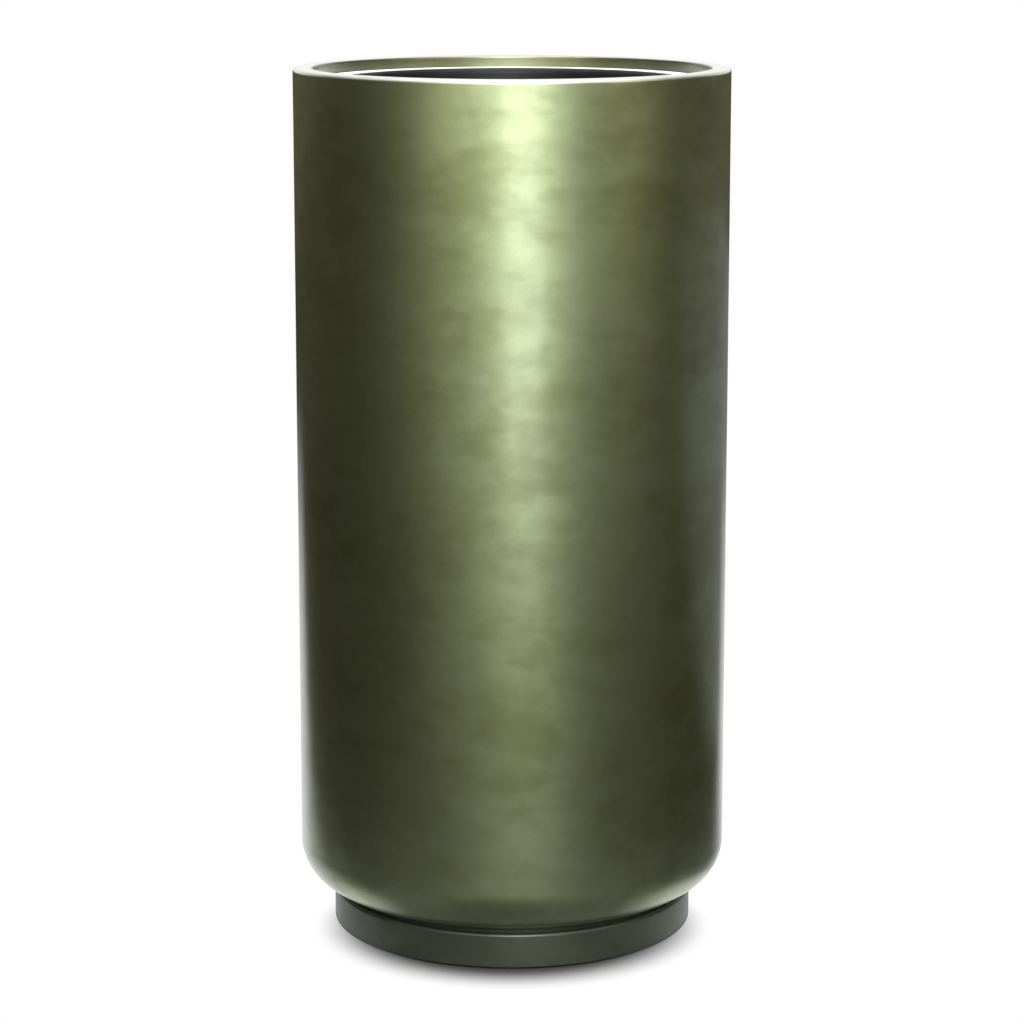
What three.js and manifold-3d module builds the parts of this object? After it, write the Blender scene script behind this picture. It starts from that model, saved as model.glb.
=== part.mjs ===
// Tall round fibreglass planter: a moulded shell with a rolled rim, a bolted foot ring with a
// shadow gap above it, and a planting liner that hangs on a ledge inside the rim.
// Millimetres, +Z up. The origin is on the ground, at the centre of the foot.

import * as THREE from 'three';
import { mergeVertices } from 'three/addons/utils/BufferGeometryUtils.js';
import Module from 'manifold-3d';

const wasm = await Module();
wasm.setup();

// ---------------------------------------------------------------- driving sizes

// Shell
const shellDiameter = 450;
const overallHeight = 905;
const laminate = 5; // wall, rim and lip
const floorThickness = 8;
const cornerRadius = 46; // outside, where the wall turns under
const rimWidth = 20; // from the wall's face to the opening
const rimOuterRound = 4;
const rimInnerRound = 2;

// Foot ring
const footInset = 35; // its face inside the shell's
const footHeight = 38; // ground to its shoulder
const footLaminate = 5;
const footShoulderRound = 3.5;
const footToeRound = 1.5;
const footReturnWidth = 22; // turned in at the ground, for the pads
const footFlangeWidth = 42; // turned in at the top, for the bolts
const shadowGapHeight = 5; // between the foot's shoulder and the shell
const shadowGapDepth = 6;

// Planting liner
const linerRecess = 11.5; // rim down to the liner's flange
const linerWall = 3;
const linerFlangeWidth = 30;
const linerBendRadius = 2; // inside the bend between flange and wall
const linerDepth = 300;
const linerDraft = THREE.MathUtils.degToRad(2);
const linerCornerRadius = 28; // outside, between wall and floor
const linerPlatformRadius = 105; // raised middle of its floor
const linerPlatformHeight = 6;
const linerPlatformSlope = 10; // run of the slope round the platform

// Ledge ring
const ledgeThickness = 4;
const ledgeLegDepth = 22;

// Drain hole and plug
const drainHoleRadius = 12;
const plugHeadRadius = 18;
const plugHeadHeight = 4;
const plugGripRadius = 6;
const plugGripHeight = 8;
const plugRound = 1.5;
const plugTaper = 1.5; // stem radius lost at its lower end
const plugProtrusion = 5; // stem below the shell's floor

// Bolts and nuts
const boltCount = 6;
const boltRadius = 3;
const boltHeadRadius = 5.5;
const boltHeadHeight = 4;
const boltWasherRadius = 8;
const boltWasherHeight = 1.5;
const boltProtrusion = 3; // thread below the nut
const nutAcrossFlats = 10;
const nutHeight = 5;

// Pads
const padCount = 6;
const padRadius = 8;
const padThickness = 1.5;

// Clearances
const bondGap = 0.3; // resin, adhesive or seating gap between touching pieces
const linerClearance = 1.5; // liner's flange inside the lip
const ledgeClearance = 6; // ledge round the liner's wall
const lipOverhang = 3; // lip below the ledge's leg
const plugClearance = 0.4; // stem in its hole
const boltHoleClearance = 0.4;
const nutThreadClearance = 0.3;
const toolClearance = 9; // socket round a bolt, inside the foot's return

// Facets
const roundSegments = 64;
const padSegments = 24;
const plugSegments = 24;
const boltSegments = 12;
const cornerSteps = 8;
const linerCornerSteps = 6;
const smallRoundSteps = 3;

// ---------------------------------------------------------------- sizes that follow

const shellRadius = shellDiameter / 2;
const openingRadius = shellRadius - rimWidth;
const undersideZ = footHeight + shadowGapHeight;
const shellFloorZ = undersideZ + floorThickness;

const linerFlangeTopZ = overallHeight - linerRecess;
const linerFlangeRadius = openingRadius - linerClearance;
const linerNeckRadius = linerFlangeRadius - linerFlangeWidth + linerWall; // outside of its wall
const linerUndersideZ = linerFlangeTopZ - linerDepth;

const ledgeTopZ = linerFlangeTopZ - linerWall - bondGap;
const ledgeLegRadius = openingRadius - bondGap;
const ledgeBoreRadius = linerNeckRadius + ledgeClearance;
const lipBottomZ = ledgeTopZ - ledgeLegDepth - lipOverhang;

const footRadius = shellRadius - footInset;
const footBottomZ = padThickness + bondGap;
const footNeckRadius = footRadius - shadowGapDepth;
const footTopZ = undersideZ - bondGap;
const footReturnRadius = footRadius - footReturnWidth;
const footFlangeBoreRadius = footNeckRadius - footFlangeWidth;
const footFlangeUndersideZ = footTopZ - footLaminate;

const boltCircleRadius = footReturnRadius - toolClearance - boltRadius;
const padCircleRadius = (footReturnRadius + footRadius - footToeRound) / 2;

// ---------------------------------------------------------------- profiles and solids

const point = (radius, z) => new THREE.Vector2(radius, z);

// Points of an arc in the profile plane, both ends included. Angles are in degrees from outwards.
function arc(centreRadius, centreZ, radius, fromDegrees, toDegrees, steps) {
  const points = [];
  for (let step = 0; step <= steps; step += 1) {
    const angle = THREE.MathUtils.degToRad(fromDegrees + ((toDegrees - fromDegrees) * step) / steps);
    points.push(point(centreRadius + radius * Math.cos(angle), centreZ + radius * Math.sin(angle)));
  }
  return points;
}

// A profile of (radius, z) points, anticlockwise, turned about +Z.
function turned(profile, segments) {
  return new THREE.LatheGeometry(profile, segments).rotateX(Math.PI / 2);
}

// The same for a ring, whose profile closes on itself.
function turnedRing(profile, segments) {
  return turned([...profile, profile[0].clone()], segments);
}

function toSolid(geometry) {
  const bare = geometry.clone();
  bare.deleteAttribute('normal');
  bare.deleteAttribute('uv');
  const welded = mergeVertices(bare);
  return new wasm.Manifold(
    new wasm.Mesh({
      numProp: 3,
      vertProperties: new Float32Array(welded.attributes.position.array),
      triVerts: new Uint32Array(welded.index.array),
    }),
  );
}

function toGeometry(solid) {
  const mesh = solid.getMesh();
  const geometry = new THREE.BufferGeometry();
  geometry.setAttribute('position', new THREE.BufferAttribute(mesh.vertProperties, 3));
  geometry.setIndex(new THREE.BufferAttribute(mesh.triVerts, 1));
  geometry.computeVertexNormals();
  return geometry;
}

// Where copy number index of count stands on a circle, half a pitch on from +X if staggered.
function onCircle(radius, index, count, staggered) {
  const angle = ((index + (staggered ? 0.5 : 0)) / count) * 2 * Math.PI;
  return { x: radius * Math.cos(angle), y: radius * Math.sin(angle) };
}

// Cuts the bolt holes through a ring or floor between two heights.
function withBoltHoles(geometry, lowZ, highZ) {
  const spare = 1;
  const holeHeight = highZ - lowZ + 2 * spare;
  const holeRadius = boltRadius + boltHoleClearance;
  let solid = toSolid(geometry);
  for (let index = 0; index < boltCount; index += 1) {
    const { x, y } = onCircle(boltCircleRadius, index, boltCount, false);
    const hole = new THREE.CylinderGeometry(holeRadius, holeRadius, holeHeight, boltSegments);
    hole.rotateX(Math.PI / 2).translate(x, y, (lowZ + highZ) / 2);
    solid = solid.subtract(toSolid(hole));
  }
  return toGeometry(solid);
}

// ---------------------------------------------------------------- materials

function material(color, roughness, metalness) {
  return new THREE.MeshStandardMaterial({ color, roughness, metalness });
}

const greenLacquer = () => material(0x5b6540, 0.35, 0.6);
const greyGelcoat = () => material(0x4a4d4c, 0.6, 0);
const blackPlastic = () => material(0x17181a, 0.35, 0);
const blackRubber = () => material(0x1c1c1c, 0.8, 0);
const zincSteel = () => material(0xa9abad, 0.4, 0.9);

function piece(name, geometry, finish) {
  const mesh = new THREE.Mesh(geometry, finish);
  mesh.name = name;
  return mesh;
}

// ---------------------------------------------------------------- pieces

// Wall, rolled rim, turned-down lip and floor are one moulding of even laminate.
function outerShell() {
  const cornerCentre = shellRadius - cornerRadius;
  const lipBackRadius = openingRadius + laminate;
  const insideRadius = shellRadius - laminate;
  const insideCornerRadius = cornerRadius - laminate;
  const outerRoundCentre = shellRadius - rimOuterRound;
  const innerRoundCentre = openingRadius + rimInnerRound;
  const profile = [
    point(drainHoleRadius, undersideZ),
    ...arc(cornerCentre, undersideZ + cornerRadius, cornerRadius, -90, 0, cornerSteps),
    ...arc(outerRoundCentre, overallHeight - rimOuterRound, rimOuterRound, 0, 90, smallRoundSteps),
    ...arc(innerRoundCentre, overallHeight - rimInnerRound, rimInnerRound, 90, 180, smallRoundSteps),
    point(openingRadius, lipBottomZ),
    point(lipBackRadius, lipBottomZ),
    point(lipBackRadius, overallHeight - laminate),
    point(insideRadius, overallHeight - laminate),
    ...arc(cornerCentre, shellFloorZ + insideCornerRadius, insideCornerRadius, 0, -90, cornerSteps),
    point(drainHoleRadius, shellFloorZ),
  ];
  const shell = withBoltHoles(turnedRing(profile, roundSegments), undersideZ, shellFloorZ);
  return piece('outer_shell', shell, greenLacquer());
}

// Channel-section plinth: a return for the pads, a wall, and a joggled flange for the bolts.
function footRing() {
  const insideRadius = footRadius - footLaminate;
  const insideNeckRadius = footNeckRadius - footLaminate;
  const insideShoulderZ = footHeight - footLaminate;
  const toeCentre = footRadius - footToeRound;
  const shoulderCentre = footRadius - footShoulderRound;
  const shoulderCentreZ = footHeight - footShoulderRound;
  const profile = [
    point(footReturnRadius, footBottomZ),
    ...arc(toeCentre, footBottomZ + footToeRound, footToeRound, -90, 0, smallRoundSteps),
    ...arc(shoulderCentre, shoulderCentreZ, footShoulderRound, 0, 90, smallRoundSteps),
    point(footNeckRadius, footHeight),
    point(footNeckRadius, footTopZ),
    point(footFlangeBoreRadius, footTopZ),
    point(footFlangeBoreRadius, footFlangeUndersideZ),
    point(insideNeckRadius, footFlangeUndersideZ),
    point(insideNeckRadius, insideShoulderZ),
    point(insideRadius, insideShoulderZ),
    point(insideRadius, footBottomZ + footLaminate),
    point(footReturnRadius, footBottomZ + footLaminate),
  ];
  const ring = withBoltHoles(turnedRing(profile, roundSegments), footFlangeUndersideZ, footTopZ);
  return piece('foot_ring', ring, greenLacquer());
}

// Angle ring: its leg is bonded to the lip and its shelf carries the liner's flange.
function ledgeRing() {
  const profile = [
    point(ledgeLegRadius - ledgeThickness, ledgeTopZ - ledgeLegDepth),
    point(ledgeLegRadius, ledgeTopZ - ledgeLegDepth),
    point(ledgeLegRadius, ledgeTopZ),
    point(ledgeBoreRadius, ledgeTopZ),
    point(ledgeBoreRadius, ledgeTopZ - ledgeThickness),
    point(ledgeLegRadius - ledgeThickness, ledgeTopZ - ledgeThickness),
  ];
  return piece('ledge_ring', turnedRing(profile, roundSegments), greyGelcoat());
}

// Tapered tub with a flat flange and a floor raised in the middle.
function plantingLiner() {
  const outsideTop = linerFlangeTopZ - linerWall;
  const taper = Math.tan(linerDraft);
  const footWallRadius = linerNeckRadius - taper * (outsideTop - linerUndersideZ);
  const cornerSetback = linerCornerRadius / Math.cos(linerDraft) - taper * linerCornerRadius;
  const cornerCentre = footWallRadius - cornerSetback;
  const cornerCentreZ = linerUndersideZ + linerCornerRadius;
  const insideCornerRadius = linerCornerRadius - linerWall;
  const draftDegrees = THREE.MathUtils.radToDeg(linerDraft);
  const platformFoot = linerPlatformRadius + linerPlatformSlope;
  const bendCentreRadius = linerNeckRadius + linerBendRadius;
  const bendCentreZ = outsideTop - linerBendRadius;
  const outerBendRadius = linerBendRadius + linerWall;
  const floorTopZ = linerUndersideZ + linerWall;
  const profile = [
    point(0, linerUndersideZ + linerPlatformHeight),
    point(linerPlatformRadius, linerUndersideZ + linerPlatformHeight),
    point(platformFoot, linerUndersideZ),
    ...arc(cornerCentre, cornerCentreZ, linerCornerRadius, -90, -draftDegrees, linerCornerSteps),
    ...arc(bendCentreRadius, bendCentreZ, linerBendRadius, 180 - draftDegrees, 90, smallRoundSteps),
    point(linerFlangeRadius, outsideTop),
    point(linerFlangeRadius, linerFlangeTopZ),
    ...arc(bendCentreRadius, bendCentreZ, outerBendRadius, 90, 180 - draftDegrees, smallRoundSteps),
    ...arc(cornerCentre, cornerCentreZ, insideCornerRadius, -draftDegrees, -90, linerCornerSteps),
    point(platformFoot, floorTopZ),
    point(linerPlatformRadius, floorTopZ + linerPlatformHeight),
    point(0, floorTopZ + linerPlatformHeight),
  ];
  return piece('planting_liner', turned(profile, roundSegments), blackPlastic());
}

// Rubber bung: a tapered stem through the floor, a flat head and a stub to pull it by.
function drainPlug() {
  const stemRadius = drainHoleRadius - plugClearance;
  const headBottomZ = shellFloorZ + bondGap;
  const headTopZ = headBottomZ + plugHeadHeight;
  const gripTopZ = headTopZ + plugGripHeight;
  const stemBottomZ = undersideZ - plugProtrusion;
  const profile = [
    point(0, stemBottomZ),
    point(stemRadius - plugTaper, stemBottomZ),
    point(stemRadius, undersideZ),
    point(stemRadius, headBottomZ),
    point(plugHeadRadius, headBottomZ),
    ...arc(plugHeadRadius - plugRound, headTopZ - plugRound, plugRound, 0, 90, smallRoundSteps),
    point(plugGripRadius, headTopZ),
    ...arc(plugGripRadius - plugRound, gripTopZ - plugRound, plugRound, 0, 90, smallRoundSteps),
    point(0, gripTopZ),
  ];
  return piece('drain_plug', turned(profile, plugSegments), blackRubber());
}

function footBolt(index) {
  const seatZ = shellFloorZ + bondGap;
  const washerTopZ = seatZ + boltWasherHeight;
  const nutBottomZ = footFlangeUndersideZ - bondGap - nutHeight;
  const profile = [
    point(0, nutBottomZ - boltProtrusion),
    point(boltRadius, nutBottomZ - boltProtrusion),
    point(boltRadius, seatZ),
    point(boltWasherRadius, seatZ),
    point(boltWasherRadius, washerTopZ),
    point(boltHeadRadius, washerTopZ),
    point(boltHeadRadius, washerTopZ + boltHeadHeight),
    point(0, washerTopZ + boltHeadHeight),
  ];
  const bolt = piece(`foot_bolt_${index + 1}`, turned(profile, boltSegments), zincSteel());
  const { x, y } = onCircle(boltCircleRadius, index, boltCount, false);
  bolt.position.set(x, y, 0);
  return bolt;
}

function footNut(index) {
  const hexagon = new THREE.Shape();
  const cornerRadiusOfNut = nutAcrossFlats / 2 / Math.cos(Math.PI / 6);
  for (let corner = 0; corner < 6; corner += 1) {
    const { x, y } = onCircle(cornerRadiusOfNut, corner, 6, false);
    if (corner === 0) hexagon.moveTo(x, y);
    else hexagon.lineTo(x, y);
  }
  const bore = new THREE.Path();
  bore.absarc(0, 0, boltRadius + nutThreadClearance, 0, 2 * Math.PI, true);
  hexagon.holes.push(bore);
  const geometry = new THREE.ExtrudeGeometry(hexagon, {
    depth: nutHeight,
    bevelEnabled: false,
    curveSegments: boltSegments,
  });
  const nut = piece(`foot_nut_${index + 1}`, geometry, zincSteel());
  const { x, y } = onCircle(boltCircleRadius, index, boltCount, false);
  nut.position.set(x, y, footFlangeUndersideZ - bondGap - nutHeight);
  return nut;
}

function footPad(index) {
  const profile = [
    point(0, 0),
    point(padRadius, 0),
    point(padRadius, padThickness),
    point(0, padThickness),
  ];
  const pad = piece(`foot_pad_${index + 1}`, turned(profile, padSegments), blackRubber());
  const { x, y } = onCircle(padCircleRadius, index, padCount, true);
  pad.position.set(x, y, 0);
  return pad;
}

// ---------------------------------------------------------------- assembly

const copies = (count, make) => Array.from({ length: count }, (_, index) => make(index));

const footAssembly = new THREE.Group();
footAssembly.add(footRing());
footAssembly.add(...copies(padCount, footPad));
footAssembly.add(...copies(boltCount, footBolt), ...copies(boltCount, footNut));

const shellAssembly = new THREE.Group();
shellAssembly.add(outerShell(), ledgeRing(), drainPlug(), plantingLiner());

const planter = new THREE.Group();
planter.add(shellAssembly, footAssembly);

export default planter;
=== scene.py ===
import math

import bpy
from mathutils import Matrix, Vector, noise

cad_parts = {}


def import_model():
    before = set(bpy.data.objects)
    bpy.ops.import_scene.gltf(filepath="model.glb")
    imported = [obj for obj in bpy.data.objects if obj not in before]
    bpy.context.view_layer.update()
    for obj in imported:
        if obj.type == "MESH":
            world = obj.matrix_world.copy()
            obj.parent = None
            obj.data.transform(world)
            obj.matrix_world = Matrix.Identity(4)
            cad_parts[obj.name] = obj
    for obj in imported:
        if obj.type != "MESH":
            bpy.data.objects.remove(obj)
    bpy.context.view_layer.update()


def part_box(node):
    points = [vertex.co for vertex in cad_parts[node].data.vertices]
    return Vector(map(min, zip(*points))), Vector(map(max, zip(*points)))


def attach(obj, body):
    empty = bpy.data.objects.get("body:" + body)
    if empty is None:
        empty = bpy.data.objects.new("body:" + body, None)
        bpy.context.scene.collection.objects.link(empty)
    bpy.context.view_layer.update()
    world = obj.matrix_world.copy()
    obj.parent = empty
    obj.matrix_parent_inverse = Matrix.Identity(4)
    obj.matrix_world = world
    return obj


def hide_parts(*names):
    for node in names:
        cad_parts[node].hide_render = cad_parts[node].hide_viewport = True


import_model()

# ------------------------------------------------------------------ sizes, in metres

SHELL_LOW, SHELL_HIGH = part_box("outer_shell")
FOOT_LOW, FOOT_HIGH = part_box("foot_ring")
LEDGE_LOW, LEDGE_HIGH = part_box("ledge_ring")
LINER_LOW, LINER_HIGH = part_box("planting_liner")
PLUG_LOW, PLUG_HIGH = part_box("drain_plug")

SHELL_RADIUS = SHELL_HIGH.x
RIM_Z = SHELL_HIGH.z
UNDERSIDE_Z = SHELL_LOW.z
LAMINATE = 0.005
FLOOR_THICKNESS = 0.008
CORNER_RADIUS = 0.046  # outside, where the wall turns under
RIM_WIDTH = 0.020
RIM_OUTER_ROUND = 0.004
RIM_INNER_ROUND = 0.002
OPENING_RADIUS = SHELL_RADIUS - RIM_WIDTH
LIP_OVERHANG = 0.003  # of the lip below the ledge
LACQUERED_LIP = 0.024  # how far down the lip the lacquer goes
DRAIN_HOLE_RADIUS = 0.012
BOND_GAP = 0.0003  # where the plug and the bolts sit on the floor

WAVER = 0.00012  # how far the hand-laid wall falls inside true round, on average
WAVER_ROUND, WAVER_UP = 2.2, 6.0  # how quickly that changes
WAVER_FADE = 0.05  # it dies away over this height at either end of the wall

FOOT_RADIUS = FOOT_HIGH.x
FOOT_SHOULDER_Z = 0.038
FOOT_LAMINATE = 0.005
FOOT_SHOULDER_ROUND = 0.0035
FOOT_TOE_ROUND = 0.0015
FOOT_RETURN_WIDTH = 0.022
FOOT_FLANGE_WIDTH = 0.042
SHADOW_GAP_DEPTH = 0.006

LINER_WALL = 0.003
LINER_FLANGE_WIDTH = 0.030
LINER_BEND_RADIUS = 0.002
LINER_DRAFT = math.radians(2)
LINER_CORNER_RADIUS = 0.028
LINER_PLATFORM_RADIUS = 0.105
LINER_PLATFORM_HEIGHT = 0.006
LINER_PLATFORM_SLOPE = 0.010

LEDGE_THICKNESS = 0.004
LEDGE_CLEARANCE = 0.006

PLUG_CLEARANCE = 0.0004
PLUG_TAPER = 0.0015  # stem radius lost at its lower end
PLUG_HEAD_HEIGHT = 0.004
PLUG_GRIP_RADIUS = 0.006
PLUG_ROUND = 0.0015

COUNT = 6  # bolts, nuts and pads
PAD_ROUND = 0.0004
BOLT_RADIUS = 0.003
BOLT_HEAD_RADIUS = 0.0055  # to its corners
BOLT_FLANGE_HEIGHT = 0.0015
BOLT_FLANGE_EDGE = (0.0002, 0.0), (0.0, 0.0004), (0.0003, 0.0009)  # in from its rim, up from its seat
THREAD_PITCH = 0.001
THREAD_DEPTH = 0.0004
NUT_BORE_RADIUS = 0.0033
BEVEL = 0.0006  # of bolts and nuts
HEXAGON_FACE = 0.86  # radius of a hexagon's bevelled end against its corners
HEAD_MIDDLE = 0.5  # radius of the innermost ring of a bolt's head, the same way

# ------------------------------------------------------------------ meshes

TINY = 1e-6  # nearer than this is the same place
SHELL_CREASE, BOLT_CREASE = 35, 30  # edges sharper than this many degrees stay sharp
PITCH, EDGE_PITCH = 0.012, 0.0008  # between points along a line, and next to its ends
DISC_CORE = 0.002  # radius of a small disc's innermost ring
PLATFORM_CORE = 0.02  # the same for the liner's platform


def placed(name, data):
    """A new object of the scene."""
    made = bpy.data.objects.new(name, data)
    bpy.context.scene.collection.objects.link(made)
    return made


def model(name, verts, faces, materials, crease, indices=None):
    """A smooth mesh object with the edges beyond the crease angle left sharp."""
    mesh = bpy.data.meshes.new(name)
    mesh.from_pydata(verts, [], faces)
    for material in materials:
        mesh.materials.append(material)
    if indices:
        mesh.polygons.foreach_set("material_index", indices)
    mesh.shade_smooth()
    mesh.set_sharp_from_angle(angle=math.radians(crease))
    return placed(name, mesh)


def arc(centre_r, centre_z, radius, start, end, steps=10):
    """Points (r, z) of an arc, both ends included, with angles in degrees from outwards."""
    points = []
    for step in range(steps + 1):
        angle = math.radians(start + (end - start) * step / steps)
        points.append((centre_r + radius * math.cos(angle), centre_z + radius * math.sin(angle)))
    return points


def line(start, end, pitch=PITCH):
    """Points (r, z) from start to end, about a pitch apart, with a close one next to each end."""
    length = math.dist(start, end)
    edge = min(EDGE_PITCH, length / 4)
    count = max(1, round(length / pitch))
    shares = [0, edge / length] + [i / count for i in range(1, count)] + [1 - edge / length, 1]
    return [(start[0] + (end[0] - start[0]) * s, start[1] + (end[1] - start[1]) * s) for s in shares]


def path(*corners):
    """Points (r, z) of the lines from corner to corner."""
    points = []
    for start, end in zip(corners, corners[1:]):
        points += line(start, end)
    return points


def turn(name, sections, segments=256, closed=True, wave=None, materials=()):
    """A mesh turned about Z from sections of (points, material index), run anticlockwise."""
    points, finish = [], []
    for section, index in sections:
        for p in section:
            if not points or math.dist(p, points[-1]) > TINY:
                points.append(p)
                finish.append(index)
    if closed and math.dist(points[0], points[-1]) < TINY:
        points.pop()
        finish.pop()
    verts, rings = [], []
    for r, z in points:
        if r < TINY:
            rings.append([len(verts)] * segments)
            verts.append((0, 0, z))
            continue
        ring = []
        for s in range(segments):
            angle = 2 * math.pi * s / segments
            radius = r - (wave(angle, r, z) if wave else 0)
            ring.append(len(verts))
            verts.append((radius * math.cos(angle), radius * math.sin(angle), z))
        rings.append(ring)
    faces, indices = [], []
    last = len(points) if closed else len(points) - 1
    for i in range(last):
        low, high = rings[i], rings[(i + 1) % len(points)]
        for s in range(segments):
            t = (s + 1) % segments
            corners = []
            for v in (low[s], low[t], high[t], high[s]):
                if v not in corners:
                    corners.append(v)
            faces.append(corners)
            indices.append(finish[(i + 1) % len(points)])
    return model(name, verts, faces, materials, SHELL_CREASE, indices)


def circle_ring(radius, z, count=24):
    """Points of a circle at height z."""
    steps = [2 * math.pi * i / count for i in range(count)]
    return [(radius * math.cos(a), radius * math.sin(a), z) for a in steps]


def hexagon_ring(radius, z, per_side=4):
    """Points of a hexagon at height z, with as many in all as a circle ring has."""
    corners = [Vector(c) for c in circle_ring(radius, z, 6)]
    points = []
    for side, corner in enumerate(corners):
        following = corners[(side + 1) % 6]
        points += [tuple(corner.lerp(following, step / per_side)) for step in range(per_side)]
    return points


def lofted(name, rings, material, closed=False):
    """A mesh through rings of equal count, capped at both ends unless it closes on itself."""
    count = len(rings[0])
    verts = [p for ring in rings for p in ring]
    faces = []
    last = len(rings) if closed else len(rings) - 1
    for i in range(last):
        low, high = i * count, ((i + 1) % len(rings)) * count
        for s in range(count):
            t = (s + 1) % count
            faces.append((low + s, low + t, high + t, high + s))
    if not closed:
        faces.append(tuple(reversed(range(count))))
        faces.append(tuple((len(rings) - 1) * count + s for s in range(count)))
    return model(name, verts, faces, [material], BOLT_CREASE)


def stand(piece, low, high):
    """Moves a piece made about Z to the middle of a CAD node's box."""
    piece.location = ((low.x + high.x) / 2, (low.y + high.y) / 2, 0)


def fit(piece, body, slot, *nodes):
    """The piece rides on a body and stands for CAD nodes, which it hides; its slot is not used."""
    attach(piece, body)
    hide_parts(*nodes)


# ------------------------------------------------------------------ material helpers

NOISE_LOW, NOISE_HIGH = 0.3, 0.7  # the levels between which a noise mostly stays


class Nodes:
    """A node tree, with short calls to add and join nodes."""

    def __init__(self, tree):
        self.tree = tree

    def add(self, kind, inputs=None, **settings):
        node = self.tree.nodes.new(kind)
        for key, value in settings.items():
            setattr(node, key, value)
        for key, value in (inputs or {}).items():
            self.put(value, node.inputs[key])
        return node

    def put(self, value, socket):
        if isinstance(value, bpy.types.NodeSocket):
            self.tree.links.new(value, socket)
        else:
            socket.default_value = value

    def ramp(self, value, low, high, to_low=0.0, to_high=1.0):
        """A value eased from to_low, where it is low, to to_high, where it is high."""
        inputs = {"Value": value, "From Min": low, "From Max": high, "To Min": to_low, "To Max": to_high}
        return self.add("ShaderNodeMapRange", inputs, interpolation_type="SMOOTHSTEP").outputs["Result"]

    def spread(self, value, to_low=0.0, to_high=1.0):
        """A noise's usual range, spread from to_low to to_high."""
        return self.ramp(value, NOISE_LOW, NOISE_HIGH, to_low, to_high)

    def maths(self, operation, a, b=0.0):
        return self.add("ShaderNodeMath", {0: a, 1: b}, operation=operation).outputs[0]

    def both(self, a, b):
        return self.maths("MULTIPLY", a, b)

    def either(self, a, b):
        return self.maths("MAXIMUM", a, b)

    def size_of(self, a):
        return self.maths("ABSOLUTE", a)

    def split(self, vector):
        outputs = self.add("ShaderNodeSeparateXYZ", {0: vector}).outputs
        return outputs["X"], outputs["Y"], outputs["Z"]

    def length(self, vector):
        return self.add("ShaderNodeVectorMath", {0: vector}, operation="LENGTH").outputs["Value"]

    def light_path(self, kind):
        return self.add("ShaderNodeLightPath").outputs[kind]

    def choose(self, factor, usual, other):
        """One shader, or the other where the factor is 1."""
        return self.add("ShaderNodeMixShader", {"Fac": factor, 1: usual, 2: other}).outputs[0]

    def glow(self, kind, colour, strength):
        return self.add(kind, {"Color": colour, "Strength": strength}).outputs[0]


class Finish(Nodes):
    """A material on a Principled shader, patterned in the piece's own coordinates."""

    def __init__(self, name):
        self.material = bpy.data.materials.new(name)
        self.material.use_nodes = True
        super().__init__(self.material.node_tree)
        self.shader = self.tree.nodes["Principled BSDF"]
        self.coords = self.add("ShaderNodeTexCoord").outputs["Object"]

    def set(self, **inputs):
        for key, value in inputs.items():
            self.put(value, self.shader.inputs[key.replace("_", " ")])

    def heights(self, factor):
        """The coordinates with their heights times a factor, which flattens a pattern beyond 1."""
        return self.add("ShaderNodeMapping", {"Vector": self.coords, "Scale": (1, 1, factor)}).outputs[0]

    def noise(self, vector, scale, detail=3.0, rough=0.5, distortion=0.0):
        inputs = {"Vector": vector, "Scale": scale, "Detail": detail, "Roughness": rough}
        inputs["Distortion"] = distortion
        return self.add("ShaderNodeTexNoise", inputs).outputs["Fac"]

    def weighted(self, *parts):
        """The sum of values, each times its share."""
        (value, share), *others = parts
        total = self.both(value, share)
        for value, share in others:
            total = self.maths("ADD", total, self.both(value, share))
        return total

    def mix(self, factor, a, b, blend="MIX"):
        node = self.add("ShaderNodeMix", data_type="RGBA", blend_type=blend)
        self.put(factor, node.inputs["Factor"])
        self.put(a, node.inputs["A"])
        self.put(b, node.inputs["B"])
        return node.outputs["Result"]

    def times(self, colour, tint):
        return self.mix(1.0, colour, tint, "MULTIPLY")

    def bump(self, height, strength, distance, normal=None):
        inputs = {"Height": height, "Strength": strength, "Distance": distance}
        if normal is not None:
            inputs["Normal"] = normal
        return self.add("ShaderNodeBump", inputs).outputs["Normal"]


# ------------------------------------------------------------------ materials

# Two tones each, dark and light.
BODY_GREENS = (0.210, 0.244, 0.118, 1), (0.343, 0.404, 0.229, 1)
# Painted shade: the foot's tones are a darker copy of the body's lacquer, for the shade under the body.
FOOT_SHADED_GREENS = (0.070, 0.082, 0.059, 1), (0.100, 0.118, 0.084, 1)
LAMINATE_GREYS = (0.045, 0.047, 0.046, 1), (0.085, 0.088, 0.084, 1)
LINER_BLACKS = (0.006, 0.0065, 0.008, 1), (0.012, 0.013, 0.015, 1)
# Painted highlight: the pale top face of the liner's flange.
FLANGE_HIGHLIGHT_PALES = (0.76, 0.77, 0.78, 1), (0.84, 0.85, 0.86, 1)
RUBBER_BLACKS = (0.012, 0.012, 0.012, 1), (0.022, 0.022, 0.021, 1)
ZINC_GREYS = (0.42, 0.43, 0.45, 1), (0.58, 0.58, 0.57, 1)

RIM_HIGHLIGHT_GREEN = (0.60, 0.63, 0.54, 1)  # painted highlight: the lacquer is paler over the top of the rim
LIP_SHADE_TINT = (0.52, 0.47, 0.47, 1)  # painted shade: the lacquer is darker inside the lip
RESIN_GREY = (0.11, 0.11, 0.10, 1)

# The lacquer's patterns, as noise scales, and what the first three add to its tone.
CLOUDS, WIPES, MOTTLE, FLAKES, PEEL, SWELL = 7.0, 19.0, 65.0, 900.0, 260.0, 7.0
CLOUD_SHARE, WIPE_SHARE, MOTTLE_SHARE = 0.55, 0.33, 0.12
TONE_RANGE = 0.37, 0.63
FLAKE_LEVELS = 0.96, 1.04
ROUGHNESS_SPREAD = 0.02
CLEAR_COAT_IOR = PLASTIC_IOR = 1.5


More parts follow.
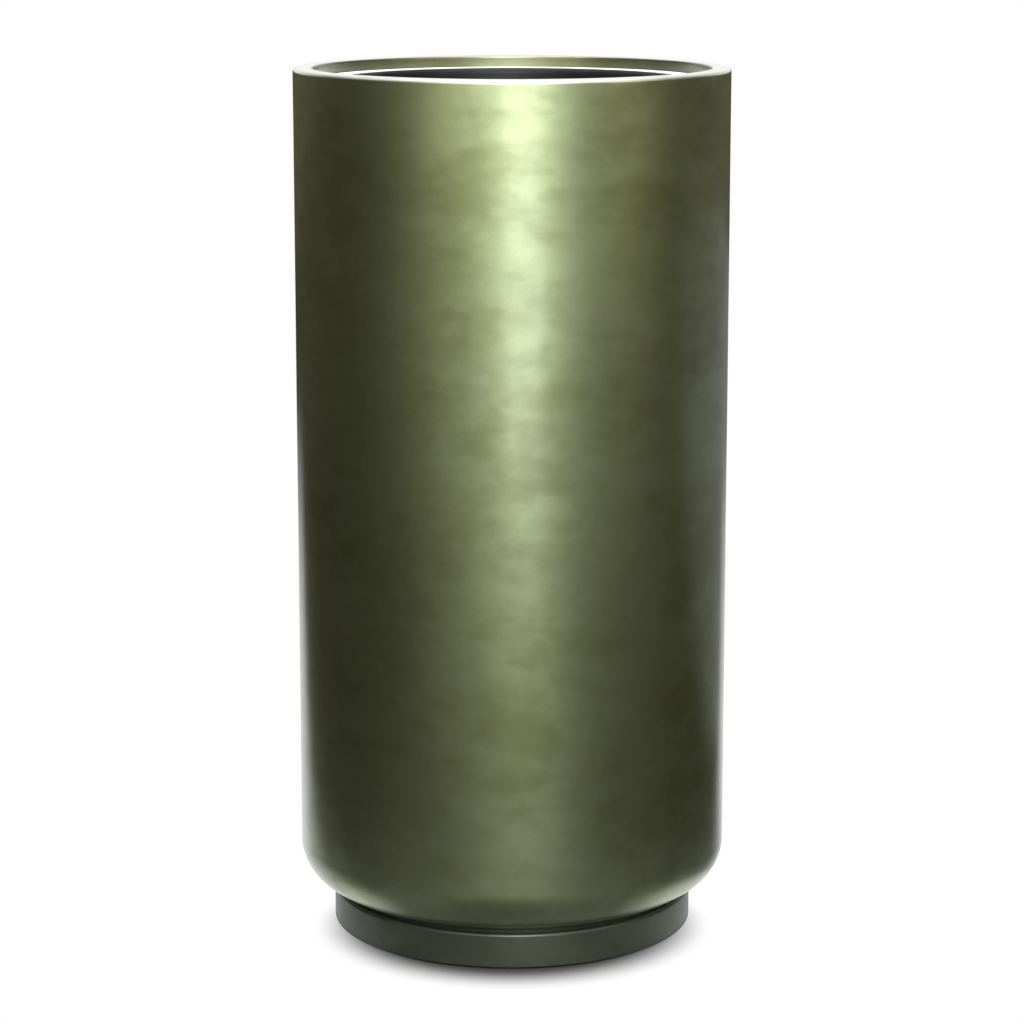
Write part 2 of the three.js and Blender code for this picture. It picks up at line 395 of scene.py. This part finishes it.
def lacquer(name, dark, light, roughness, coat, coat_roughness):
    """Metallic lacquer, wiped by hand into soft level clouds of two tones, under a clear coat."""
    n = Finish(name)
    clouds = n.noise(n.heights(1.5), CLOUDS, detail=2.0, distortion=0.3)
    wipes = n.noise(n.heights(1.9), WIPES, detail=2.5, distortion=0.4)
    mottle = n.noise(n.heights(1.2), MOTTLE, detail=2.0)
    pattern = n.weighted((clouds, CLOUD_SHARE), (wipes, WIPE_SHARE), (mottle, MOTTLE_SHARE))
    tone = n.ramp(pattern, *TONE_RANGE)
    speck = n.spread(n.noise(n.coords, FLAKES, detail=1.0), *FLAKE_LEVELS)
    grey = n.add("ShaderNodeCombineColor", {0: speck, 1: speck, 2: speck}).outputs[0]
    wiped = n.times(n.mix(tone, dark, light), grey)
    height = n.split(n.coords)[2]
    radius = n.length(n.heights(0))
    lip_edge = OPENING_RADIUS + RIM_INNER_ROUND / 4
    # Painted shade: darker lacquer inside the lip, under the rim.
    in_lip = n.ramp(radius, lip_edge, OPENING_RADIUS + RIM_INNER_ROUND / 2, 1, 0)
    high_up = n.ramp(height, RIM_Z - 2 * LACQUERED_LIP, RIM_Z - LACQUERED_LIP)
    lip_shaded = n.mix(n.both(in_lip, high_up), wiped, n.times(wiped, LIP_SHADE_TINT))
    # Painted highlight: paler lacquer over the top of the rim.
    on_rim = n.ramp(radius, lip_edge, OPENING_RADIUS + RIM_INNER_ROUND)
    near_top = n.ramp(height, RIM_Z - RIM_OUTER_ROUND, RIM_Z - RIM_OUTER_ROUND / 2)
    n.set(Base_Color=n.mix(n.both(on_rim, near_top), lip_shaded, RIM_HIGHLIGHT_GREEN), Metallic=1.0)
    n.set(Roughness=n.ramp(tone, 0.0, 1.0, roughness + ROUGHNESS_SPREAD, roughness - ROUGHNESS_SPREAD))
    n.set(Coat_Weight=coat, Coat_Roughness=coat_roughness, Coat_IOR=CLEAR_COAT_IOR)
    swelling = n.bump(n.noise(n.heights(0.6), SWELL, detail=1.0), strength=0.10, distance=0.01)
    peel = n.noise(n.coords, PEEL, detail=2.0)
    n.set(Normal=n.bump(peel, strength=0.05, distance=0.0004, normal=swelling))
    return n.material


def raw_laminate():
    """The unpainted back of the moulding: grey gelcoat over chopped strands."""
    n = Finish("raw_laminate")
    strands = n.noise(n.coords, scale=60.0, detail=5.0, rough=0.65, distortion=1.6)
    patches = n.ramp(n.noise(n.coords, scale=8.0, detail=2.0), 0.4, 0.7, 0, 0.4)
    colour = n.mix(n.ramp(strands, 0.35, 0.65), *LAMINATE_GREYS)
    n.set(Base_Color=n.mix(patches, colour, RESIN_GREY), Roughness=n.spread(strands, 0.45, 0.7))
    n.set(Normal=n.bump(strands, strength=0.35, distance=0.001))
    return n.material


def liner_plastic():
    """Black polypropylene, faintly cloudy and scuffed."""
    n = Finish("liner_plastic")
    haze = n.noise(n.coords, scale=14.0, rough=0.6)
    scuffs = n.noise(n.heights(3.0), scale=60.0, rough=0.6)
    n.set(Base_Color=n.mix(n.spread(haze), *LINER_BLACKS), Roughness=n.ramp(scuffs, 0.35, 0.7, 0.42, 0.48))
    n.set(IOR=PLASTIC_IOR, Specular_IOR_Level=0.15, Normal=n.bump(haze, strength=0.08, distance=0.002))
    return n.material


def flange_highlight_plastic():
    """Painted highlight: the pale top face of the liner's flange stands for the light it catches."""
    n = Finish("flange_highlight_plastic")
    haze = n.noise(n.coords, scale=40.0, rough=0.6)
    n.set(Base_Color=n.mix(n.spread(haze), *FLANGE_HIGHLIGHT_PALES), Roughness=n.spread(haze, 0.40, 0.50))
    n.set(IOR=PLASTIC_IOR)
    return n.material


def rubber():
    n = Finish("black_rubber")
    grain = n.noise(n.coords, scale=500.0, detail=2.0)
    bloom = n.ramp(n.noise(n.coords, scale=60.0, detail=2.0), 0.35, 0.7)
    n.set(Base_Color=n.mix(bloom, *RUBBER_BLACKS), Roughness=n.spread(grain, 0.7, 0.88))
    n.set(Normal=n.bump(grain, strength=0.2, distance=0.0003))
    return n.material


def zinc():
    n = Finish("zinc_steel")
    spangle = n.noise(n.coords, scale=320.0, detail=2.0)
    n.set(Base_Color=n.mix(n.spread(spangle), *ZINC_GREYS), Metallic=1.0)
    n.set(Roughness=n.spread(spangle, 0.28, 0.42))
    return n.material


BODY_LACQUER = lacquer("green_lacquer", *BODY_GREENS, roughness=0.43, coat=1.0, coat_roughness=0.19)
# The foot's darker tones are painted shade.
FOOT_SHADED_LACQUER = lacquer("green_lacquer_foot_shaded", *FOOT_SHADED_GREENS, roughness=0.66, coat=0.45, coat_roughness=0.25)
LAMINATE_BACK, PLASTIC, FLANGE_HIGHLIGHT_PLASTIC = raw_laminate(), liner_plastic(), flange_highlight_plastic()
RUBBER, ZINC = rubber(), zinc()

# ------------------------------------------------------------------ shell, foot and ledge


def hand_finish(angle, r, z):
    """How far the wall falls inside true round, at most twice its average."""
    if r < SHELL_RADIUS - TINY:
        return 0
    above, below = z - UNDERSIDE_Z - CORNER_RADIUS, RIM_Z - z
    ends = min(1, max(0, above / WAVER_FADE), max(0, below / WAVER_FADE))
    place = Vector((math.cos(angle) * WAVER_ROUND, math.sin(angle) * WAVER_ROUND, z * WAVER_UP))
    return WAVER * ends * (1 + noise.noise(place))


def shell():
    corner_r = SHELL_RADIUS - CORNER_RADIUS
    corner_z = UNDERSIDE_Z + CORNER_RADIUS
    inner_corner = CORNER_RADIUS - LAMINATE
    floor_z = UNDERSIDE_Z + FLOOR_THICKNESS
    inner_r = SHELL_RADIUS - LAMINATE
    lip_back = OPENING_RADIUS + LAMINATE
    lip_z = LEDGE_LOW.z - LIP_OVERHANG
    lacquer_end_z = RIM_Z - LACQUERED_LIP
    outer_round_r, outer_round_z = SHELL_RADIUS - RIM_OUTER_ROUND, RIM_Z - RIM_OUTER_ROUND
    inner_round_r, inner_round_z = OPENING_RADIUS + RIM_INNER_ROUND, RIM_Z - RIM_INNER_ROUND
    lacquered = (
        line((DRAIN_HOLE_RADIUS, UNDERSIDE_Z), (corner_r, UNDERSIDE_Z), pitch=0.03)
        + arc(corner_r, corner_z, CORNER_RADIUS, -90, 0, steps=24)
        + line((SHELL_RADIUS, corner_z), (SHELL_RADIUS, outer_round_z))
        + arc(outer_round_r, outer_round_z, RIM_OUTER_ROUND, 0, 90, steps=12)
        + line((outer_round_r, RIM_Z), (inner_round_r, RIM_Z), pitch=0.004)
        + arc(inner_round_r, inner_round_z, RIM_INNER_ROUND, 90, 180, steps=8)
        + line((OPENING_RADIUS, inner_round_z), (OPENING_RADIUS, lacquer_end_z), pitch=0.006)
    )
    bare = (
        line((OPENING_RADIUS, lacquer_end_z), (OPENING_RADIUS, lip_z), pitch=0.01)
        + line((OPENING_RADIUS, lip_z), (lip_back, lip_z))
        + line((lip_back, lip_z), (lip_back, RIM_Z - LAMINATE), pitch=0.01)
        + line((lip_back, RIM_Z - LAMINATE), (inner_r, RIM_Z - LAMINATE))
        + line((inner_r, RIM_Z - LAMINATE), (inner_r, floor_z + inner_corner), pitch=0.04)
        + arc(corner_r, floor_z + inner_corner, inner_corner, 0, -90, steps=16)
        + line((corner_r, floor_z), (DRAIN_HOLE_RADIUS, floor_z), pitch=0.03)
        + line((DRAIN_HOLE_RADIUS, floor_z), (DRAIN_HOLE_RADIUS, UNDERSIDE_Z))
    )
    sections = [(lacquered, 0), (bare, 1)]
    piece = turn("shell_moulding", sections, wave=hand_finish, materials=(BODY_LACQUER, LAMINATE_BACK))
    fit(piece, "shell", "green_lacquer", "outer_shell")


def foot():
    neck = FOOT_RADIUS - SHADOW_GAP_DEPTH
    return_r = FOOT_RADIUS - FOOT_RETURN_WIDTH
    bore = neck - FOOT_FLANGE_WIDTH
    inner_r = FOOT_RADIUS - FOOT_LAMINATE
    inner_neck = neck - FOOT_LAMINATE
    low, high = FOOT_LOW.z, FOOT_HIGH.z
    flange_z = high - FOOT_LAMINATE
    inner_shoulder_z = FOOT_SHOULDER_Z - FOOT_LAMINATE
    return_z = low + FOOT_LAMINATE
    shoulder_r, shoulder_z = FOOT_RADIUS - FOOT_SHOULDER_ROUND, FOOT_SHOULDER_Z - FOOT_SHOULDER_ROUND
    toe_r, toe_z = FOOT_RADIUS - FOOT_TOE_ROUND, low + FOOT_TOE_ROUND
    lacquered = (
        line((return_r, low), (toe_r, low), pitch=0.006)
        + arc(toe_r, toe_z, FOOT_TOE_ROUND, -90, 0, steps=6)
        + line((FOOT_RADIUS, toe_z), (FOOT_RADIUS, shoulder_z), pitch=0.006)
        + arc(shoulder_r, shoulder_z, FOOT_SHOULDER_ROUND, 0, 90)
        + path((shoulder_r, FOOT_SHOULDER_Z), (neck, FOOT_SHOULDER_Z), (neck, high))
    )
    bare = path(
        (neck, high), (bore, high), (bore, flange_z), (inner_neck, flange_z),
        (inner_neck, inner_shoulder_z), (inner_r, inner_shoulder_z),
        (inner_r, return_z), (return_r, return_z), (return_r, low),
    )
    piece = turn("foot_moulding", [(lacquered, 0), (bare, 1)], materials=(FOOT_SHADED_LACQUER, LAMINATE_BACK))
    fit(piece, "shell", "green_lacquer", "foot_ring")


def ledge():
    leg = LEDGE_HIGH.x
    neck = LINER_HIGH.x - LINER_FLANGE_WIDTH + LINER_WALL
    bore = neck + LEDGE_CLEARANCE
    low, high = LEDGE_LOW.z, LEDGE_HIGH.z
    inner, shelf_z = leg - LEDGE_THICKNESS, high - LEDGE_THICKNESS
    nose = LEDGE_THICKNESS / 2
    profile = (
        path((inner, low), (leg, low), (leg, high), (bore + nose, high))
        + arc(bore + nose, high - nose, nose, 90, 270)
        + path((bore + nose, shelf_z), (inner, shelf_z), (inner, low))
    )
    piece = turn("liner_ledge", [(profile, 0)], materials=(LAMINATE_BACK,))
    fit(piece, "shell", "grey_gelcoat", "ledge_ring")


# ------------------------------------------------------------------ the liner


def platform_slope(top_z, steps=12):
    """The soft S from the edge of the liner's platform down to the gutter round it."""
    points = []
    for step in range(steps + 1):
        share = step / steps
        eased = share * share * (3 - 2 * share)
        r = LINER_PLATFORM_RADIUS + LINER_PLATFORM_SLOPE * share
        points.append((r, top_z - LINER_PLATFORM_HEIGHT * eased))
    return points


def liner():
    flange_r, top, low = LINER_HIGH.x, LINER_HIGH.z, LINER_LOW.z
    neck = flange_r - LINER_FLANGE_WIDTH + LINER_WALL
    under_flange = top - LINER_WALL
    taper = math.tan(LINER_DRAFT)
    draft = math.degrees(LINER_DRAFT)
    wall_foot = neck - taper * (under_flange - low)
    corner_r = wall_foot + taper * LINER_CORNER_RADIUS - LINER_CORNER_RADIUS / math.cos(LINER_DRAFT)
    corner_z = low + LINER_CORNER_RADIUS
    inner_corner = LINER_CORNER_RADIUS - LINER_WALL
    bend_r, bend_z = neck + LINER_BEND_RADIUS, under_flange - LINER_BEND_RADIUS
    platform_foot = LINER_PLATFORM_RADIUS + LINER_PLATFORM_SLOPE
    raised = low + LINER_PLATFORM_HEIGHT
    inner_low, inner_raised = low + LINER_WALL, raised + LINER_WALL
    edge = LINER_WALL / 2
    wall_low_z = corner_z - LINER_CORNER_RADIUS * math.sin(LINER_DRAFT)
    wall_low_r = neck - taper * (under_flange - wall_low_z)
    wall_high_r = neck - taper * (under_flange - bend_z)
    under = (
        [(0, raised)]
        + line((PLATFORM_CORE, raised), (LINER_PLATFORM_RADIUS, raised), pitch=0.02)
        + platform_slope(raised)
        + line((platform_foot, low), (corner_r, low))
        + arc(corner_r, corner_z, LINER_CORNER_RADIUS, -90, -draft, steps=16)
        + line((wall_low_r, wall_low_z), (wall_high_r, bend_z), pitch=0.02)
        + arc(bend_r, bend_z, LINER_BEND_RADIUS, 180 - draft, 90, steps=8)
        + line((bend_r, under_flange), (flange_r - edge, under_flange), pitch=0.01)
        + arc(flange_r - edge, top - edge, edge, -90, 90)
    )
    flange_top = line((flange_r - edge, top), (bend_r, top), pitch=0.005)
    inside = (
        arc(bend_r, bend_z, LINER_BEND_RADIUS + LINER_WALL, 90, 180 - draft, steps=12)
        + line((wall_high_r - LINER_WALL, bend_z), (wall_low_r - LINER_WALL, wall_low_z), pitch=0.02)
        + arc(corner_r, corner_z, inner_corner, -draft, -90, steps=16)
        + line((corner_r, inner_low), (platform_foot, inner_low))
        + platform_slope(inner_raised)[::-1]
        + line((LINER_PLATFORM_RADIUS, inner_raised), (PLATFORM_CORE, inner_raised), pitch=0.02)
        + [(0, inner_raised)]
    )
    # The flange's top face takes the painted highlight.
    sections = [(under, 0), (flange_top, 1), (inside, 0)]
    piece = turn("liner_tub", sections, closed=False, materials=(PLASTIC, FLANGE_HIGHLIGHT_PLASTIC))
    fit(piece, "liner", "liner_plastic", "planting_liner")


# ------------------------------------------------------------------ plug, pads, bolts and nuts


def plug():
    head_r = PLUG_HIGH.x
    stem_r = DRAIN_HOLE_RADIUS - PLUG_CLEARANCE
    tip_r = stem_r - PLUG_TAPER
    head_low = UNDERSIDE_Z + FLOOR_THICKNESS + BOND_GAP
    head_high = head_low + PLUG_HEAD_HEIGHT
    grip_r = PLUG_GRIP_RADIUS
    edge = PLUG_ROUND
    top, low = PLUG_HIGH.z, PLUG_LOW.z
    profile = (
        [(0, low)]
        + line((DISC_CORE, low), (tip_r - edge, low))
        + arc(tip_r - edge, low + edge, edge, -90, 0, steps=6)
        + path((stem_r, UNDERSIDE_Z), (stem_r, head_low), (head_r, head_low), (head_r, head_high - edge))
        + arc(head_r - edge, head_high - edge, edge, 0, 90, steps=6)
        + line((head_r - edge, head_high), (grip_r + edge, head_high))
        + arc(grip_r + edge, head_high + edge, edge, -90, -180, steps=6)
        + line((grip_r, head_high + edge), (grip_r, top - edge))
        + arc(grip_r - edge, top - edge, edge, 0, 90, steps=6)
        + [(0, top)]
    )
    piece = turn("drain_bung", [(profile, 0)], segments=64, closed=False, materials=(RUBBER,))
    fit(piece, "plug", "black_rubber", "drain_plug")


def pad(index):
    node = f"foot_pad_{index}"
    low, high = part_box(node)
    edge = PAD_ROUND
    flat_r = (high.x - low.x) / 2 - edge
    profile = (
        [(0, low.z)]
        + line((DISC_CORE, low.z), (flat_r, low.z), pitch=0.003)
        + arc(flat_r, low.z + edge, edge, -90, 0, steps=4)
        + arc(flat_r, high.z - edge, edge, 0, 90, steps=4)
        + [(0, high.z)]
    )
    piece = turn(f"pad_{index}", [(profile, 0)], segments=48, closed=False, materials=(RUBBER,))
    stand(piece, low, high)
    fit(piece, "shell", "black_rubber", node)


def bolt(index):
    """A flanged bolt, head up, with its thread as grooves below the floor."""
    node = f"foot_bolt_{index}"
    low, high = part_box(node)
    flange_r, head_r = (high.x - low.x) / 2, BOLT_HEAD_RADIUS
    seat_z = UNDERSIDE_Z + FLOOR_THICKNESS + BOND_GAP
    thread_low = low.z + BEVEL
    rings = [circle_ring(BOLT_RADIUS - BEVEL, low.z), circle_ring(BOLT_RADIUS, thread_low)]
    for i in range(int((UNDERSIDE_Z - thread_low) / THREAD_PITCH)):
        z = thread_low + THREAD_PITCH * i
        rings.append(circle_ring(BOLT_RADIUS - THREAD_DEPTH, z + THREAD_PITCH / 2))
        rings.append(circle_ring(BOLT_RADIUS, z + THREAD_PITCH))
    rings.append(circle_ring(BOLT_RADIUS, seat_z))
    rings += [circle_ring(flange_r - inset, seat_z + rise) for inset, rise in BOLT_FLANGE_EDGE]
    rings += [
        hexagon_ring(head_r, seat_z + BOLT_FLANGE_HEIGHT),
        hexagon_ring(head_r, high.z - BEVEL),
        circle_ring(head_r * HEXAGON_FACE, high.z),
        circle_ring(head_r * HEAD_MIDDLE, high.z),
    ]
    piece = lofted(f"bolt_{index}", rings, ZINC)
    stand(piece, low, high)
    fit(piece, "shell", "zinc_steel", node)


def nut(index):
    node = f"foot_nut_{index}"
    low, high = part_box(node)
    corner_r, bore_r = (high.x - low.x) / 2, NUT_BORE_RADIUS
    rings = [
        circle_ring(bore_r, low.z + BEVEL),
        circle_ring(bore_r + BEVEL, low.z),
        circle_ring(corner_r * HEXAGON_FACE, low.z),
        hexagon_ring(corner_r, low.z + BEVEL),
        hexagon_ring(corner_r, high.z - BEVEL),
        circle_ring(corner_r * HEXAGON_FACE, high.z),
        circle_ring(bore_r + BEVEL, high.z),
        circle_ring(bore_r, high.z - BEVEL),
    ]
    piece = lofted(f"nut_{index}", rings, ZINC, closed=True)
    stand(piece, low, high)
    fit(piece, "shell", "zinc_steel", node)


shell()
foot()
ledge()
liner()
plug()
for number in range(1, COUNT + 1):
    pad(number)
    bolt(number)
    nut(number)

# ------------------------------------------------------------------ floor, light and camera

# A pair of numbers is where a ramp starts and ends: metres on the floor, parts of a direction above it.
WHITE = (1, 1, 1, 1)
ROOM_WARM = (1.0, 0.66, 0.18, 1)
WARM_LEVELS = 0.0, 0.1  # the dimmer the floor's mirror image, the warmer

FLOOR_HALF = 6.0
PAINTED_SHADOW_FLOOR = (0.08, 0.08, 0.08, 1)  # painted shadow: the dark floor the camera sees round the foot, shaded further by the lamps
SHADOW_CENTRE_Y = -0.040  # the painted shadow is centred a little forward
SHADOW_EDGE = 0.150, 0.214  # radii over which it gives way to white
FOOT_EDGE = FOOT_RADIUS, FOOT_RADIUS + 0.005  # only outside it do reflections find the lit floor

# The floor in reflections: a white strip behind the planter, narrow at its foot and wider with distance.
STRIP_CENTRE_X = -0.06
STRIP_HALF_WIDTH, STRIP_BLUR = 0.20, 0.25
STRIP_SPREAD = 0.5  # added to its half width with each metre behind
STRIP_START_Y = -0.15, 0.0
STRIP_REACH = 0.6, 4.0
FLOOR_DIM = 0.02  # the rest of the floor
RIGHT_GLEAM = 0.22  # far behind on the right
GLEAM_X, GLEAM_Y = (0.3, 0.9), (0.2, 0.8)
FRONT_GLOW, FRONT_GLOW_REACH = 0.18, (0.2, 0.8)  # close to the planter
SIDE_GLOW, SIDE_GLOW_REACH = 0.9, (0.25, 0.34)  # against the foot, left and right
SIDE_GLOW_X, SIDE_GLOW_Y = (0.07, 0.20), (-0.24, -0.08)

# The room in reflections: dim in front, a white backdrop behind, white high up at the sides.
AMBIENT = 0.5
ROOM_FRONT, ROOM_SIDE, ROOM_TURN_Y = 0.015, 0.07, (-0.2, 0.5)
BACKDROP_Y, BACKDROP_Z = (0.45, 0.8), (0.0, 0.05)
SIDES_X, SIDES_Z = (0.3, 0.5), (0.5, 0.7)

NEUTRAL, WARM = (1.0, 1.0, 1.0), (1.0, 0.91, 0.66)
SOFTBOXES = (  # name, place, aimed at, width and height, watts, colour
    ("key", (0.20, -2.9, 1.80), (0, 0, 0.75), (1.6, 1.2), 106, NEUTRAL),
    ("low", (0.30, -2.9, 0.42), (0, 0, 0.42), (1.0, 0.78), 8.5, NEUTRAL),
    ("left", (-1.45, -2.5, 1.6), (0, 0, 0.6), (1.3, 1.4), 15, WARM),
    ("right", (2.3, -1.4, 1.65), (0, 0, 0.6), (1.1, 1.4), 13, WARM),
    ("top", (0, -0.3, 2.7), (0, 0, 0.9), (1.8, 2.0), 64, NEUTRAL),
)

CAMERA_PLACE = (0, -3.3, 1.095)
CAMERA_DOWN = 10.73  # degrees below level
CAMERA_SENSOR = 36
CAMERA_LENS = 112.25
CAMERA_SHIFT = -0.028
CAMERA_REACH = 50


def floor():
    """White floor with a painted shadow by the foot, deepened by the lamps' real shade; reflections find
    it dim but for a few lit places.
    """
    mesh = bpy.data.meshes.new("floor")
    corners = [(FLOOR_HALF * x, FLOOR_HALF * y, 0) for x, y in ((-1, -1), (1, -1), (1, 1), (-1, 1))]
    mesh.from_pydata(corners, [], [(0, 1, 2, 3)])
    made = placed("floor", mesh)
    n = Finish("floor_white")
    n.set(Base_Color=PAINTED_SHADOW_FLOOR, Roughness=0.9, Specular_IOR_Level=0.1)
    distance = n.length(n.coords)
    x, y, _ = n.split(n.coords)
    off_centre = n.size_of(n.maths("SUBTRACT", x, STRIP_CENTRE_X))
    past_edge = n.maths("SUBTRACT", off_centre, n.both(y, STRIP_SPREAD))
    strip = n.ramp(past_edge, STRIP_HALF_WIDTH, STRIP_HALF_WIDTH + STRIP_BLUR, 1, 0)
    behind = n.both(strip, n.ramp(y, *STRIP_START_Y))
    lit = n.both(behind, n.ramp(distance, *STRIP_REACH, 1, 0))
    right = n.both(n.ramp(x, *GLEAM_X), n.ramp(y, *GLEAM_Y))
    gleam = n.ramp(right, 0.0, 1.0, FLOOR_DIM, RIGHT_GLEAM)
    front_glow = n.ramp(distance, *FRONT_GLOW_REACH, FRONT_GLOW, 0.0)
    beside = n.both(n.ramp(n.size_of(x), *SIDE_GLOW_X), n.ramp(y, *SIDE_GLOW_Y))
    side_glow = n.both(beside, n.ramp(distance, *SIDE_GLOW_REACH, SIDE_GLOW, 0.0))
    level = n.either(n.either(lit, gleam), n.either(front_glow, side_glow))
    tint = n.mix(n.ramp(level, *WARM_LEVELS), ROOM_WARM, WHITE)
    white = n.glow("ShaderNodeEmission", WHITE, 1.0)
    mirrored = n.glow("ShaderNodeEmission", tint, level)
    # Painted shadow: the camera sees the dark floor inside a ring round the foot and white outside it.
    moved = n.add("ShaderNodeMapping", {"Vector": n.coords, "Location": (0, -SHADOW_CENTRE_Y, 0)})
    clear = n.ramp(n.length(moved.outputs[0]), *SHADOW_EDGE)
    plain = n.choose(n.both(clear, n.light_path("Is Camera Ray")), n.shader.outputs[0], white)
    outside = n.ramp(distance, *FOOT_EDGE)
    final = n.choose(n.both(outside, n.light_path("Is Glossy Ray")), plain, mirrored)
    n.put(final, n.tree.nodes["Material Output"].inputs["Surface"])
    mesh.materials.append(n.material)


def world():
    """White to the eye; in reflections white behind and high at the sides, a dim warm room in front."""
    made = bpy.data.worlds.new("studio")
    bpy.context.scene.world = made
    made.use_nodes = True
    made.node_tree.nodes.clear()
    n = Nodes(made.node_tree)
    x, y, z = n.split(n.add("ShaderNodeTexCoord").outputs["Generated"])
    room = n.glow("ShaderNodeBackground", ROOM_WARM, n.ramp(y, *ROOM_TURN_Y, ROOM_FRONT, ROOM_SIDE))
    backdrop = n.glow("ShaderNodeBackground", WHITE, 1.0)
    ambient = n.glow("ShaderNodeBackground", WHITE, AMBIENT)
    behind = n.both(n.ramp(y, *BACKDROP_Y), n.ramp(z, *BACKDROP_Z))
    sides = n.both(n.ramp(n.size_of(x), *SIDES_X), n.ramp(z, *SIDES_Z))
    mirrored = n.choose(n.either(behind, sides), room, backdrop)
    unseen = n.choose(n.light_path("Is Glossy Ray"), ambient, mirrored)
    final = n.choose(n.light_path("Is Camera Ray"), unseen, backdrop)
    n.add("ShaderNodeOutputWorld", {"Surface": final})


def softbox(name, place, target, size, watts, colour):
    data = bpy.data.lights.new(name, "AREA")
    data.color = colour
    data.shape = "RECTANGLE"
    data.size, data.size_y = size
    data.energy = watts
    made = placed(name, data)
    made.location = place
    made.rotation_euler = (Vector(target) - Vector(place)).to_track_quat("-Z", "Y").to_euler()


def camera():
    data = bpy.data.cameras.new("camera")
    data.sensor_width = CAMERA_SENSOR
    data.lens = CAMERA_LENS
    data.shift_y = CAMERA_SHIFT
    data.clip_end = CAMERA_REACH
    made = placed("camera", data)
    made.location = CAMERA_PLACE
    made.rotation_euler = (math.radians(90 - CAMERA_DOWN), 0, 0)
    bpy.context.scene.camera = made


floor()
world()
for box in SOFTBOXES:
    softbox(*box)
camera()

bpy.context.scene.view_settings.view_transform = "Standard"
